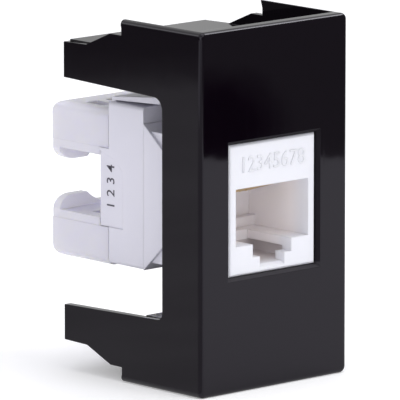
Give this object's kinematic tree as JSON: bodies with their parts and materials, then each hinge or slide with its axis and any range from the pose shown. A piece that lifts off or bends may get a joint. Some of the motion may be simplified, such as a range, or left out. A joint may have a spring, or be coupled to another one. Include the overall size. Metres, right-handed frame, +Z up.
{
  "type": "rj45 wall socket module",
  "caption": "Narrow black snap-in wall module that carries a white network jack with a stepped plug port and clear wire caps at the rear",
  "frame": {"origin": "on the floor under the middle of the module's box: halfway across, halfway between the cover's front face and the caps' rear, at the cover's bottom edges", "axes": "-Y is the way the plug port faces, +Y is towards the wire caps, +X is across the module, +Z is up with the plug port's latch notch at the bottom"},
  "size_m": [0.024, 0.0314, 0.044],
  "materials": {
    "black_cover": "polished black moulded plastic",
    "white_front": "satin white moulded plastic",
    "white_rear": "satin white moulded plastic",
    "white_insert": "plain moulded plastic",
    "board": "green lacquered laminate",
    "clear_cap": "slightly milky clear moulded plastic",
    "gilt_contact": "thin gilding over spring wire",
    "tinned_contact": "dull tin over stamped sheet"
  },
  "bodies": {
    "module": {"module_cover": "black_cover", "jack_housing": "white_front", "contact_carrier": "white_insert", "circuit_board": "board", "idc_housing": "white_rear", "idc_contact_1": "tinned_contact", "idc_contact_2": "tinned_contact", "idc_contact_3": "tinned_contact", "idc_contact_4": "tinned_contact", "idc_contact_5": "tinned_contact", "idc_contact_6": "tinned_contact", "idc_contact_7": "tinned_contact", "idc_contact_8": "tinned_contact"},
    "upper_cap": {"upper_wire_cap": "clear_cap"},
    "lower_cap": {"lower_wire_cap": "clear_cap"},
    "contact_set": {"spring_contact_1": "gilt_contact", "spring_contact_2": "gilt_contact", "spring_contact_3": "gilt_contact", "spring_contact_4": "gilt_contact", "spring_contact_5": "gilt_contact", "spring_contact_6": "gilt_contact", "spring_contact_7": "gilt_contact", "spring_contact_8": "gilt_contact"}
  },
  "joints": [
    {"name": "upper_cap_slide", "type": "slide", "parent": "module", "child": "upper_cap", "axis": [0, 1, 0], "range_m": [0, 0.01]},
    {"name": "lower_cap_slide", "type": "slide", "parent": "module", "child": "lower_cap", "axis": [0, 1, 0], "range_m": [0, 0.01]},
    {"name": "contact_flex", "type": "hinge", "parent": "module", "child": "contact_set", "pos_m": [0, -0.0126, 0.02525], "axis": [1, 0, 0], "range_deg": [0, 9], "stiffness_Nm_per_rad": 0.02}
  ]
}
